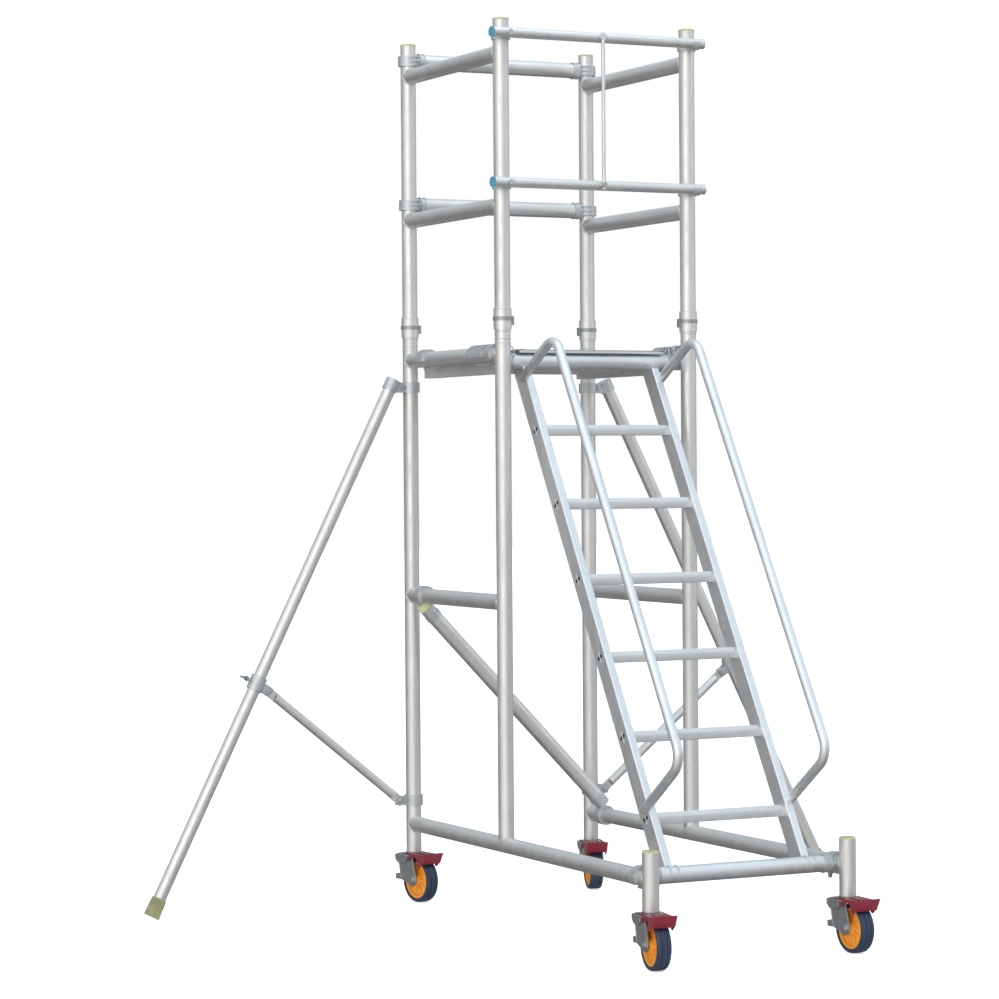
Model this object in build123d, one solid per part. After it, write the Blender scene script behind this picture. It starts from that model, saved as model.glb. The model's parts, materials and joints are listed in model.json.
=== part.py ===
from build123d import *
from math import atan2, degrees, hypot
import os

# Mobile tower scaffold. Millimetres, +Z up, +Y towards the rear, the stair ladder at the front (-Y).
# Work coordinates have y = 0 on the axis of the rear posts; export moves the middle of the
# footprint to y = 0, so the origin is the bottom centre of the whole object.

# Tubes
TUBE_R = 25.4            # scaffold tube, 50.8 mm outside diameter
WALL = 3.2
FIT_GAP = 0.2            # clearance between a casting or a weld preparation and its tube
SWING_GAP = 0.3          # clearance of the outrigger clamps, which turn round the post

# Frame
HALF_WIDTH = 340.0       # post axis from the centre plane
DEPTH = 700.0            # rear posts to front posts
LENGTH = 1640.0          # rear posts to front castor posts
POST_FOOT = 168.0        # bottom end of the tubes that stand on castors
BASE_RAIL_Z = 262.0
MID_RAIL_Z = 1036.0
PLATFORM_RAIL_Z = 1828.0
COUPLING_Z = 1906.0      # joint between the lower frames and the guard frames
KNEE_RAIL_Z = 2300.0
TOP_RAIL_Z = 2785.0
POST_TOP = 2889.0
CASTOR_POST_TOP = 340.0
REAR_RAIL_RISE = 53.0    # rear rails sit this far above the side rails
CENTRE_Y = -848.0        # middle of the footprint in work coordinates

# Coupling between lower and guard posts
SLEEVE_R = 29.0
SLEEVE_LENGTH = 64.0
CRIMP_DEPTH = 1.0
CRIMP_WIDTH = 4.0
SPIGOT_R = TUBE_R - WALL - FIT_GAP
SPIGOT_REACH = 130.0
CAP_R = 26.4
CASTOR_CAP_R = 25.2      # flush, so that a coupler slides over it
CAP_THICKNESS = 6.0
CAP_PLUG_LENGTH = 22.0
CLIP_RISE = 34.0         # spring clip above the coupling

# Claws and clamps
CLAW_R = 34.0
CLAW_WIDTH = 34.0
CLAW_NECK = 54.0         # from the gripped tube's axis to the end of the held tube
COLLAR_R = 27.6
COLLAR_WIDTH = 18.0
CUT_REACH = 60.0         # half-length of a cutting cylinder that only has to pass right through
BRACE_Y = -100.0
BRACE_TOP_DROP = 34.0
BRACE_BASE_RISE = 34.0

# Platform
DECK_TOP = 1845.0
DECK_THICKNESS = 10.0
DECK_HALF_WIDTH = 268.0
DECK_FRONT = -668.0
DECK_REAR = -34.0
BEAM_X = 290.0
BEAM_WIDTH = 30.0
BEAM_BOTTOM = 1768.0
END_BEAM_BOTTOM = 1784.0
BEAM_FRONT = -612.0
BEAM_WALL = 2.5
FRONT_CROSS_BEAM_Y = -560.0   # behind the heads of the ladder's stiles
REAR_HOOK_Y = -130.0
FRONT_HOOK_Y = -552.0
REAR_HOOK_WIDTH = 60.0
FRONT_HOOK_WIDTH = 112.0
HOOK_RIB_PITCH = 14.0

# Stair ladder
STILE_X = 237.0
STILE_WIDTH = 27.0
STILE_DEPTH = 65.0
STILE_TOP = (-626.0, 1787.0)      # y, z of the stile's axis at its two ends
STILE_FOOT = (-1543.0, 262.0)
LADDER_TOP_TUBE = (-645.0, 1807.0)
LADDER_BOTTOM_TUBE_Y = -1583.0
RUNG_COUNT = 6
FIRST_RUNG_Z = 1583.5
RUNG_RISE = 233.8
RUNG_DEPTH = 42.0
RUNG_HEIGHT = 34.0
HANDRAIL_X = 253.0
HANDRAIL_R = 15.0
HANDRAIL_WALL = 2.5
HANDRAIL_BEND = 62.0
HANDRAIL_ROUTE = ((-668.0, 1752.0), (-893.0, 1882.0), (-1674.0, 602.0), (-1446.0, 440.0))

# Lift gate on the front guard posts
GATE_Y = -751.0
GATE_HEIGHTS = (2369.0, 2843.0)
GATE_BAR_R = 16.0
GATE_LEFT_END = -392.0
GATE_RIGHT_END = 374.0
GATE_PIN_R = 5.0
GATE_LINK_X = -10.0
GATE_LINK_R = 6.0
GATE_LINK_PIN_R = 4.0
GATE_COLLAR_WALL = 5.0
GATE_WALL = 2.5
CRADLE_WALL = 4.5
CRADLE_GAP = 0.6
RUNNING = 0.05           # radial clearance of a pin that turns in its hole

# Outriggers, in the plane of the rear posts
LEG_R = 21.0
LEG_TOP = (408.0, 1752.0)         # distance from the centre plane, height
LEG_FOOT = (1268.0, 44.0)
STRUT_R = 14.5
STRUT_POST_Z = 342.0
STRUT_PIN_REACH = 52.0   # post axis to the strut's pin
STRUT_PIN_R = 5.0
MID_CLAMP_Z = 758.0
FOOT_R = 27.0
FOOT_LENGTH = 46.0

# Castors
WHEEL_R = 75.0
TYRE_WIDTH = 46.0
RIM_R = 61.0
TRAIL = 38.0             # wheel axle behind the swivel axis, towards the front of the tower
AXLE_R = 6.0
CHEEK_X = 29.0
CHEEK_THICKNESS = 4.0
HEAD_TOP = 160.0
HEAD_BOTTOM = 153.5
STEM_R = 10.0
PEDAL_PIVOT = (-20.0, 146.0)
CASTOR_HEADING = {"front_left": -8.0, "front_right": 1.0, "rear_left": 10.0, "rear_right": -17.0}

BASE = (Align.CENTER, Align.CENTER, Align.MIN)
SIDES = {"left": -1, "right": 1}
parts = {}


def rod(start, end, radius):
    """Solid cylinder between two points."""
    first = Vector(*start)
    span = Vector(*end) - first
    return Plane(origin=first, z_dir=span) * Cylinder(radius, span.length, align=BASE)


def tube(start, end, radius=TUBE_R, wall=WALL):
    """Open-ended tube between two points."""
    return rod(start, end, radius) - rod(start, end, radius - wall)


def block(low, high):
    """Box between two corners."""
    size = [b - a for a, b in zip(low, high)]
    return Pos(*[(a + b) / 2 for a, b in zip(low, high)]) * Box(*size)


def group(solids):
    """Several separate solids as one node."""
    return Compound(children=list(solids))


def ring(centre, axis, inner, outer, width):
    """Flat ring about an axis, centred on a point."""
    half = Vector(*axis) * (width / 2)
    start, end = Vector(*centre) - half, Vector(*centre) + half
    return rod(start, end, outer) - rod(start, end, inner)


def between_posts(x, z, y_front=-DEPTH, y_rear=0.0):
    """Rail along Y, coped round the posts at its two ends."""
    rail = tube((x, y_rear, z), (x, y_front, z))
    for y in (y_rear, y_front):
        rail -= rod((x, y, z - CUT_REACH), (x, y, z + CUT_REACH), TUBE_R + FIT_GAP)
    return rail


def lower_post(x, y, foot):
    """Post of the lower frame, crimped twice under its coupling."""
    post = tube((x, y, foot), (x, y, COUPLING_Z))
    for z in (COUPLING_Z - 22, COUPLING_Z - 36):
        post -= ring((x, y, z), (0, 0, 1), TUBE_R - CRIMP_DEPTH, TUBE_R + 5, CRIMP_WIDTH)
    return post


def side_frame(side):
    """Welded lower frame: two posts, base rail, mid rail, platform rail and castor post."""
    x = side * HALF_WIDTH
    cut_from, cut_to = -DEPTH - CUT_REACH, -DEPTH + CUT_REACH
    base_line = rod((x, cut_from, BASE_RAIL_Z), (x, cut_to, BASE_RAIL_Z), TUBE_R + FIT_GAP)
    return group([
        lower_post(x, 0, POST_FOOT),
        lower_post(x, -DEPTH, BASE_RAIL_Z) - base_line,
        between_posts(x, BASE_RAIL_Z, y_front=-LENGTH),
        between_posts(x, MID_RAIL_Z),
        between_posts(x, PLATFORM_RAIL_Z),
        tube((x, -LENGTH, POST_FOOT), (x, -LENGTH, CASTOR_POST_TOP)),
    ])


def guard_post(x, y):
    """Guard post with the enlarged sleeve that stands on the lower post."""
    foot = COUPLING_Z + FIT_GAP
    sleeve = rod((x, y, foot), (x, y, foot + SLEEVE_LENGTH), SLEEVE_R)
    post = rod((x, y, foot), (x, y, POST_TOP), TUBE_R) + sleeve
    return post - rod((x, y, foot), (x, y, POST_TOP), TUBE_R - WALL)


def guard_frame(side):
    """Welded upper frame: two posts with a knee rail and a top rail."""
    x = side * HALF_WIDTH
    rails = [between_posts(x, z) for z in (KNEE_RAIL_Z, TOP_RAIL_Z)]
    return group([guard_post(x, 0), guard_post(x, -DEPTH)] + rails)


def corners():
    """The four post positions in plan."""
    return [(side * HALF_WIDTH, y) for side in SIDES.values() for y in (0.0, -DEPTH)]


def spigot(x, y):
    """Inner tube that joins a lower post to its guard post."""
    return tube((x, y, COUPLING_Z - SPIGOT_REACH), (x, y, COUPLING_Z + SPIGOT_REACH), SPIGOT_R, 3.0)


def spigot_clip(x, y):
    """Spring clip round the sleeve, with its thumb lug facing into the tower."""
    z = COUPLING_Z + CLIP_RISE
    inward = -1 if x > 0 else 1
    clip = ring((x, y, z), (0, 0, 1), SLEEVE_R + FIT_GAP, SLEEVE_R + 2.4, 12)
    lug = block((x + inward * SLEEVE_R - 9, y - 7, z - 20), (x + inward * SLEEVE_R + 9, y + 7, z + 8))
    return clip + (lug - rod((x, y, z - 30), (x, y, z + 30), SLEEVE_R + FIT_GAP))


def end_cap(x, y, top, radius):
    """Plastic cap: a lid over the tube's end and a plug inside it."""
    lid = rod((x, y, top), (x, y, top + CAP_THICKNESS), radius)
    lid = fillet(lid.edges().group_by(Axis.Z)[-1], 2.5)
    return lid + rod((x, y, top - CAP_PLUG_LENGTH), (x, y, top), TUBE_R - WALL - FIT_GAP)


def post_caps():
    """Caps of the four guard posts and the two front castor posts."""
    caps = [end_cap(x, y, POST_TOP, CAP_R) for x, y in corners()]
    for side in SIDES.values():
        caps.append(end_cap(side * HALF_WIDTH, -LENGTH, CASTOR_POST_TOP, CASTOR_CAP_R))
    return group(caps)


def claw(centre, axis, toward, drop=0.0, width=CLAW_WIDTH, mouth=None):
    """Cast hook round a tube, with the neck that holds the end of another tube."""
    centre, axis, toward = Vector(*centre), Vector(*axis), Vector(*toward).normalized()
    offset = Vector(0, 0, -drop)
    bore = TUBE_R + FIT_GAP
    jaw = rod(centre - axis * width / 2, centre + axis * width / 2, CLAW_R)
    neck = rod(centre + offset, centre + offset + toward * CLAW_NECK, TUBE_R)
    end = centre + offset + toward * CLAW_NECK
    body = jaw + neck + rod(end - toward * COLLAR_WIDTH, end, COLLAR_R)
    body -= rod(centre - axis * CUT_REACH, centre + axis * CUT_REACH, bore)
    if mouth:
        opening = Vector(*mouth).normalized()
        across = axis.cross(opening)
        slot = Plane(origin=centre + opening * 40, x_dir=across, z_dir=axis) * Box(26, 50, 80)
        body -= slot
    return body


def rear_rail(z):
    """Tube between the claws on the two rear guard posts."""
    reach = HALF_WIDTH - CLAW_NECK
    return tube((-reach, 0, z), (reach, 0, z))


def rear_rail_claws():
    """Claws of both rear rails, open to the rear."""
    claws = []
    for z in (KNEE_RAIL_Z + REAR_RAIL_RISE, TOP_RAIL_Z + REAR_RAIL_RISE):
        for side in SIDES.values():
            claws.append(claw((side * HALF_WIDTH, 0, z), (0, 0, 1), (-side, 0, 0), mouth=(side * 0.3, 1, 0)))
    return group(claws)


def brace_ends():
    """Points on the brace's axis beside the left mid rail and above the right base rail."""
    top = Vector(-HALF_WIDTH, BRACE_Y, MID_RAIL_Z - BRACE_TOP_DROP)
    base = Vector(HALF_WIDTH, BRACE_Y, BASE_RAIL_Z + BRACE_BASE_RISE)
    return top, base, (base - top).normalized()


def diagonal_brace():
    """Sloping tube between its two claws."""
    top, base, along = brace_ends()
    return tube(tuple(top + along * CLAW_NECK), tuple(base - along * CLAW_NECK))


def diagonal_claw(x, rail_z, start, along):
    """Claw over a side rail, whose neck follows the sloping brace."""
    jaw = rod((x, BRACE_Y - CLAW_WIDTH / 2, rail_z), (x, BRACE_Y + CLAW_WIDTH / 2, rail_z), CLAW_R)
    neck = rod(tuple(start + along * 8), tuple(start + along * CLAW_NECK), TUBE_R)
    end = start + along * CLAW_NECK
    body = jaw + neck + rod(tuple(end - along * COLLAR_WIDTH), tuple(end), COLLAR_R)
    cut_from, cut_to = BRACE_Y - CUT_REACH, BRACE_Y + CUT_REACH
    return body - rod((x, cut_from, rail_z), (x, cut_to, rail_z), TUBE_R + FIT_GAP)


def diagonal_claws():
    """The brace's claws, on the left mid rail and the right base rail."""
    top, base, along = brace_ends()
    upper = diagonal_claw(-HALF_WIDTH, MID_RAIL_Z, top, along)
    lower = diagonal_claw(HALF_WIDTH, BASE_RAIL_Z, base, along * -1)
    return group([upper, lower])


def deck_board():
    """Non-slip board that forms the standing surface."""
    underside = DECK_TOP - DECK_THICKNESS
    board = block((-DECK_HALF_WIDTH, DECK_FRONT, underside), (DECK_HALF_WIDTH, DECK_REAR, DECK_TOP))
    return fillet(board.edges().filter_by(Axis.Z), 6)


def hollow_beam(low, high, axis):
    """Rectangular hollow section along X or Y."""
    beam = block(low, high)
    inner_low = [a + (0 if i == axis else BEAM_WALL) for i, a in enumerate(low)]
    inner_high = [b - (0 if i == axis else BEAM_WALL) for i, b in enumerate(high)]
    return beam - block(inner_low, inner_high)


def deck_frame():
    """Two side beams and three cross beams under the board."""
    top = DECK_TOP - DECK_THICKNESS
    half = BEAM_WIDTH / 2
    inner = BEAM_X - half - FIT_GAP
    rear = DECK_REAR - 4
    beams = []
    for side in SIDES.values():
        x = side * BEAM_X
        beams.append(hollow_beam((x - half, BEAM_FRONT, BEAM_BOTTOM), (x + half, rear, top), 1))
    for y in (rear - half, (BEAM_FRONT + rear) / 2, FRONT_CROSS_BEAM_Y):
        beams.append(hollow_beam((-inner, y - half, END_BEAM_BOTTOM), (inner, y + half, top), 0))
    return group(beams)


def deck_hook(side, y, width, ribs):
    """Cast hook over a platform rail, joined to the deck's side beam."""
    x = side * HALF_WIDTH
    rail_z = PLATFORM_RAIL_Z
    hook = rod((x, y - width / 2, rail_z), (x, y + width / 2, rail_z), CLAW_R - 2)
    for i in range(ribs):
        rib_y = y + (i - (ribs - 1) / 2) * HOOK_RIB_PITCH
        hook += rod((x, rib_y - 3, rail_z), (x, rib_y + 3, rail_z), CLAW_R)
    near, far = sorted((side * (BEAM_X + BEAM_WIDTH / 2), x))
    hook += block((near, y - width / 2 + 4, rail_z - 28), (far, y + width / 2 - 4, rail_z + 6))
    hook -= rod((x, y - width, rail_z), (x, y + width, rail_z), TUBE_R + FIT_GAP)
    mouth = sorted((x - side * 2, x + side * CUT_REACH))
    return hook - block((mouth[0], y - width, rail_z - 60), (mouth[1], y + width, rail_z - 8))


def deck_hooks():
    """The four hooks that hang the platform on its rails."""
    hooks = []
    for side in SIDES.values():
        hooks.append(deck_hook(side, REAR_HOOK_Y, REAR_HOOK_WIDTH, 4))
        hooks.append(deck_hook(side, FRONT_HOOK_Y, FRONT_HOOK_WIDTH, 8))
    return group(hooks)


def stile_y(z):
    """Position of the stile's axis at a height."""
    (y_top, z_top), (y_foot, z_foot) = STILE_TOP, STILE_FOOT
    return y_foot + (z - z_foot) / (z_top - z_foot) * (y_top - y_foot)


STILE_ANGLE = degrees(atan2(STILE_TOP[1] - STILE_FOOT[1], STILE_TOP[0] - STILE_FOOT[0]))


def along_stile(x, z):
    """Frame on the stile's axis, with its local X up the slope."""
    return Pos(x, stile_y(z), z) * Rot(STILE_ANGLE, 0, 0) * Rot(0, 0, 90)


def ladder_tubes():
    """Solid stand-ins of the ladder's two cross tubes, used to cope the stiles."""
    y_top, z_top = LADDER_TOP_TUBE
    y_foot, z_foot = LADDER_BOTTOM_TUBE_Y, BASE_RAIL_Z
    top = rod((-HALF_WIDTH, y_top, z_top), (HALF_WIDTH, y_top, z_top), TUBE_R + FIT_GAP)
    bottom = rod((-HALF_WIDTH, y_foot, z_foot), (HALF_WIDTH, y_foot, z_foot), TUBE_R + FIT_GAP)
    return top, bottom


def rung_heights():
    """Heights of the rungs, from the top one down."""
    return [FIRST_RUNG_Z - i * RUNG_RISE for i in range(RUNG_COUNT)]


def stile(side):
    """Box-section side of the ladder, coped on the cross tubes, with the rungs' end slots."""
    x = side * STILE_X
    rise = hypot(STILE_TOP[0] - STILE_FOOT[0], STILE_TOP[1] - STILE_FOOT[1])
    middle = (STILE_TOP[1] + STILE_FOOT[1]) / 2
    box = fillet(Box(rise + 120, STILE_WIDTH, STILE_DEPTH).edges().filter_by(Axis.X), 5)
    shell = box - Box(rise + 160, STILE_WIDTH - 5, STILE_DEPTH - 5)
    body = along_stile(x, middle) * shell
    for cross_tube in ladder_tubes():
        body -= cross_tube
    body -= block((x - 50, -2000, 0), (x + 50, 0, STILE_FOOT[1] - 12))
    body -= block((x - 50, -2000, LADDER_TOP_TUBE[1] - 6), (x + 50, 0, 2200))
    for z in rung_heights():
        slot = along_stile(x + side * STILE_WIDTH / 2, z) * Box(11, 8, 30)
        body -= slot
    return body.solids().sort_by(SortBy.VOLUME)[-1]


def rung(z):
    """Step with a rounded upper side, between the stiles."""
    half = STILE_X - STILE_WIDTH / 2 - FIT_GAP
    bar = Pos(0, stile_y(z), z) * Box(2 * half, RUNG_DEPTH, RUNG_HEIGHT)
    bar = fillet(bar.edges().filter_by(Axis.X).group_by(Axis.Z)[-1], 11)
    bar = fillet(bar.edges().filter_by(Axis.X).group_by(Axis.Z)[0], 4)
    return bar - Pos(0, stile_y(z), z - 1) * Box(2 * half, RUNG_DEPTH - 8, RUNG_HEIGHT - 9)


def ladder_top_tube():
    """Cross tube at the head of the ladder."""
    y, z = LADDER_TOP_TUBE
    reach = HALF_WIDTH - CLAW_NECK
    return tube((-reach, y, z), (reach, y, z))


def ladder_bottom_tube():
    """Cross tube at the foot of the ladder."""
    reach = HALF_WIDTH - CLAW_NECK
    return tube((-reach, LADDER_BOTTOM_TUBE_Y, BASE_RAIL_Z), (reach, LADDER_BOTTOM_TUBE_Y, BASE_RAIL_Z))


def ladder_claws():
    """Claws of the ladder's cross tubes, open below."""
    y_top, z_top = LADDER_TOP_TUBE
    claws = []
    for side in SIDES.values():
        x = side * HALF_WIDTH
        toward, mouth = (-side, 0, 0), (side * 0.6, 0, -1)
        drop = PLATFORM_RAIL_Z - z_top
        claws.append(claw((x, y_top, PLATFORM_RAIL_Z), (0, 1, 0), toward, drop, mouth=mouth))
        claws.append(claw((x, LADDER_BOTTOM_TUBE_Y, BASE_RAIL_Z), (0, 1, 0), toward, mouth=mouth))
    return group(claws)


def handrail(side):
    """Bent tube welded to the front of a stile at both ends."""
    points = [(side * HANDRAIL_X, y, z) for y, z in HANDRAIL_ROUTE]
    path = FilletPolyline(*points, radius=HANDRAIL_BEND)
    start = Plane(origin=path @ 0, z_dir=path % 0)
    bore = sweep(start * Circle(HANDRAIL_R - HANDRAIL_WALL), path=path)
    rail = sweep(start * Circle(HANDRAIL_R), path=path) - bore
    middle = (STILE_TOP[1] + STILE_FOOT[1]) / 2
    body = along_stile(side * STILE_X, middle) * Box(2400, STILE_WIDTH + 0.4, STILE_DEPTH + 0.4)
    return (rail - body).solids().sort_by(SortBy.VOLUME)[-1]


def gate_pivot_bracket(z):
    """Collar on the left front guard post with the pin on which a gate bar turns."""
    x = -HALF_WIDTH
    bracket = ring((x, -DEPTH, z), (0, 0, 1), TUBE_R + FIT_GAP, TUBE_R + GATE_COLLAR_WALL, 34)
    lug = block((x - 13, -DEPTH - 34, z - 15), (x + 13, -DEPTH - 20, z + 15))
    bracket += lug - rod((x, -DEPTH, z - 40), (x, -DEPTH, z + 40), TUBE_R + FIT_GAP)
    bracket += rod((x, -DEPTH - 30, z), (x, GATE_Y - GATE_BAR_R - 3, z), GATE_PIN_R)
    return bracket + rod((x, GATE_Y - GATE_BAR_R - 1.5, z), (x, GATE_Y - GATE_BAR_R - 6.5, z), 9)


def gate_rest_hook(z):
    """Collar on the right front guard post with the open cradle that catches a gate bar."""
    x = HALF_WIDTH
    hook = ring((x, -DEPTH, z - 4), (0, 0, 1), TUBE_R + FIT_GAP, TUBE_R + GATE_COLLAR_WALL, 30)
    bore = GATE_BAR_R + CRADLE_GAP
    cradle = rod((x - 14, GATE_Y, z), (x + 14, GATE_Y, z), GATE_BAR_R + CRADLE_WALL)
    cradle += block((x - 14, -DEPTH - 34, z - 18), (x + 14, -DEPTH - 20, z + 4))
    cradle -= rod((x - 20, GATE_Y, z), (x + 20, GATE_Y, z), bore)
    cradle -= block((x - 20, GATE_Y - 40, z + 4), (x + 20, GATE_Y + bore, z + 40))
    cradle -= block((x - 20, GATE_Y - bore, z), (x + 20, GATE_Y + bore, z + 40))
    return hook + (cradle - rod((x, -DEPTH, z - 40), (x, -DEPTH, z + 40), TUBE_R + FIT_GAP))


def gate_bar(z):
    """Tube with cross holes for its post pin and for the link's pin."""
    bar = tube((GATE_LEFT_END, GATE_Y, z), (GATE_RIGHT_END, GATE_Y, z), GATE_BAR_R, GATE_WALL)
    near, far = GATE_Y - CUT_REACH / 2, GATE_Y + CUT_REACH / 2
    for x, radius in ((-HALF_WIDTH, GATE_PIN_R), (GATE_LINK_X, GATE_LINK_PIN_R)):
        bar -= rod((x, near, z), (x, far, z), radius + RUNNING)
    return bar


def gate_bar_cap(z):
    """Plastic plug in the short end of a gate bar."""
    lid = rod((GATE_LEFT_END - 9, GATE_Y, z), (GATE_LEFT_END, GATE_Y, z), GATE_BAR_R + 1)
    lid = fillet(lid.edges().group_by(Axis.X)[0], 3)
    plug_r = GATE_BAR_R - GATE_WALL - FIT_GAP
    return lid + rod((GATE_LEFT_END, GATE_Y, z), (GATE_LEFT_END + 18, GATE_Y, z), plug_r)


def gate_link_rod():
    """Thin rod in front of the bars that makes them lift together, with its upper pin."""
    low, high = GATE_HEIGHTS
    y = GATE_Y - GATE_BAR_R - 1.5 - GATE_LINK_R
    link = rod((GATE_LINK_X, y, low - 14), (GATE_LINK_X, y, high + 14), GATE_LINK_R)
    for z in GATE_HEIGHTS:
        eye = rod((GATE_LINK_X, y - 5, z), (GATE_LINK_X, y + 5, z), 11)
        link += eye
    link -= rod((GATE_LINK_X, y - 20, low), (GATE_LINK_X, y + 20, low), GATE_LINK_PIN_R + 0.5)
    rear = GATE_Y + GATE_BAR_R + 2
    return link + rod((GATE_LINK_X, y - 5, high), (GATE_LINK_X, rear, high), GATE_LINK_PIN_R)


def gate_link_pin():
    """Pin held by the lower bar, on which the link's open lower eye sits."""
    low = GATE_HEIGHTS[0]
    front = GATE_Y - GATE_BAR_R - 1.5 - 2 * GATE_LINK_R - 1
    pin = rod((GATE_LINK_X, front - 4, low), (GATE_LINK_X, GATE_Y + GATE_BAR_R + 2, low), GATE_LINK_PIN_R)
    return pin + rod((GATE_LINK_X, front - 4, low), (GATE_LINK_X, front - 1, low), 7.5)


def leg_line(side):
    """Top, foot and direction of an outrigger's leg."""
    top = Vector(side * LEG_TOP[0], 0, LEG_TOP[1])
    foot = Vector(side * LEG_FOOT[0], 0, LEG_FOOT[1])
    return top, foot, (foot - top).normalized()


def leg_point(side, z):
    """Point on the leg's axis at a height."""
    top, foot, along = leg_line(side)
    return top + along * ((z - top.Z) / along.Z)


def outrigger_leg(side):
    """Long sloping tube of the outrigger."""
    top, foot, along = leg_line(side)
    return tube(tuple(top), tuple(foot), LEG_R, 2.8)


def outrigger_foot(side):
    """Rubber ferrule on the end of the leg, which meets the ground with its edge."""
    top, foot, along = leg_line(side)
    start = foot - along * (FOOT_LENGTH * 0.62)
    edge_drop = FOOT_R * hypot(along.X, along.Y)
    reach = (start.Z - edge_drop) / -along.Z
    end = start + along * reach
    shoe = Plane(origin=start, z_dir=along) * Cone(FOOT_R - 3, FOOT_R, reach, align=BASE)
    return shoe - rod(tuple(start - along * 5), tuple(foot), LEG_R + FIT_GAP)


def strut_ends(side):
    """Ends of the strut's axis, at the post clamp and at the leg clamp."""
    post_end = Vector(side * (HALF_WIDTH + STRUT_PIN_REACH), 0, STRUT_POST_Z)
    leg_end = leg_point(side, MID_CLAMP_Z) + Vector(side * -38, 0, -26)
    return post_end, leg_end


def outrigger_strut(side):
    """Lower strut with flattened, drilled ends."""
    post_end, leg_end = strut_ends(side)
    along = (leg_end - post_end).normalized()
    middle = tube(tuple(post_end + along * 34), tuple(leg_end - along * 34), STRUT_R, 2.5)
    strut = middle
    half_cut = Vector(0, CUT_REACH / 2, 0)
    for end, sign in ((post_end, 1), (leg_end, -1)):
        flat = Plane(origin=end + along * (sign * 17), x_dir=along, z_dir=(0, 1, 0)) * Box(58, 30, 7)
        strut += flat
        strut -= rod(tuple(end - half_cut), tuple(end + half_cut), STRUT_PIN_R)
    return strut


def clevis(end, toward, height):
    """Two ears and a bolt that hold a flat end."""
    reach = Vector(*toward).normalized()
    ears = None
    for y in (-8.0, 8.0):
        middle = end + reach * 9 + Vector(0, y, 0)
        ear = Plane(origin=middle, x_dir=reach, z_dir=(0, 1, 0)) * Box(42, height, 6)
        ears = ear if ears is None else ears + ear
    bolt = rod(tuple(end + Vector(0, -19, 0)), tuple(end + Vector(0, 19, 0)), STRUT_PIN_R - 0.1)
    head = rod(tuple(end + Vector(0, -19, 0)), tuple(end + Vector(0, -11, 0)), 9)
    nut = rod(tuple(end + Vector(0, 11, 0)), tuple(end + Vector(0, 19, 0)), 9)
    return ears + bolt + head + nut


def outrigger_clamps(side):
    """Top and bottom post clamps and the sliding clamp on the leg."""
    x = side * HALF_WIDTH
    post = rod((x, 0, 0), (x, 0, COUPLING_Z), TUBE_R + SWING_GAP)
    top, foot, along = leg_line(side)
    post_end, leg_end = strut_ends(side)
    leg = rod(tuple(top - along * 10), tuple(foot), LEG_R + FIT_GAP)

    upper = ring((x, 0, LEG_TOP[1] - 14), (0, 0, 1), TUBE_R, TUBE_R + 6, 34)
    near, far = sorted((x + side * 26, top.X + side * 2))
    upper += block((near, -13, LEG_TOP[1] - 31), (far, 13, LEG_TOP[1] + 3))
    upper += rod(tuple(top - along * 12), tuple(top + along * 26), LEG_R + 4)
    upper = upper - post - leg

    lower = ring((x, 0, STRUT_POST_Z), (0, 0, 1), TUBE_R, TUBE_R + 6, 36)
    lower += clevis(post_end, (-side, 0, 0), 30)
    lower -= post

    grip = leg_point(side, MID_CLAMP_Z)
    sleeve = rod(tuple(grip - along * 24), tuple(grip + along * 24), LEG_R + 6)
    sleeve += clevis(leg_end, tuple(grip - leg_end), 30)
    outward = Vector(along.Z, 0, -along.X) * (-side)
    sleeve += rod(tuple(grip + outward * 20), tuple(grip + outward * 46), 6)
    sleeve -= leg
    return group([upper, lower, sleeve])


def castor_place(name):
    """Location of a castor: its post's axis, with the castor's own heading at rest."""
    x = SIDES[name.split("_")[1]] * HALF_WIDTH
    y = -LENGTH if name.startswith("front") else 0.0
    return Pos(x, y, 0) * Rot(0, 0, CASTOR_HEADING[name])


def castor_stem():
    """Plug in the post, flange, and the rivet that holds the swivel head."""
    stem = rod((0, 0, POST_FOOT - 4), (0, 0, POST_FOOT), 27)
    stem += rod((0, 0, POST_FOOT), (0, 0, POST_FOOT + 44), TUBE_R - WALL - FIT_GAP)
    stem += rod((0, 0, HEAD_TOP + 0.5), (0, 0, POST_FOOT), 15)
    stem += rod((0, 0, HEAD_BOTTOM - 1), (0, 0, HEAD_TOP + 1), STEM_R)
    return stem + rod((0, 0, HEAD_BOTTOM - 4), (0, 0, HEAD_BOTTOM - 0.5), 12)


def cheek(x):
    """One side plate of the fork: upright behind the wheel, sloping down to the axle in front."""
    outline = Plane.YZ * make_hull(
        (Pos(-TRAIL, WHEEL_R) * Circle(19)).edges()
        + (Pos(22, 82) * Circle(10)).edges()
        + (Pos(4, HEAD_TOP - 9) * Rectangle(80, 16)).edges()
    )
    return Pos(x, 0, 0) * extrude(outline, CHEEK_THICKNESS)


def castor_fork():
    """Pressed-steel fork with its swivel head and the low brake arm at the rear."""
    fork = cheek(CHEEK_X) + cheek(-CHEEK_X - CHEEK_THICKNESS)
    width = CHEEK_X + CHEEK_THICKNESS
    crown = block((-width, -34, HEAD_BOTTOM), (width, 56, HEAD_TOP))
    fork += fillet(crown.edges().filter_by(Axis.Z), 10)
    fork += block((-width + 8, 42, HEAD_BOTTOM - 22), (width - 8, 52, HEAD_TOP))
    for x in (-width, CHEEK_X):
        fork += block((x, -30, 72), (x + CHEEK_THICKNESS, 62, 90))
    fork += block((-width, 52, 74), (width, 62, 90))
    fork -= rod((0, 0, 100), (0, 0, 200), STEM_R + RUNNING)
    fork -= rod((-60, -TRAIL, WHEEL_R), (60, -TRAIL, WHEEL_R), AXLE_R)
    y, z = PEDAL_PIVOT
    return fork - rod((-60, y, z), (60, y, z), 4.05)


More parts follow.
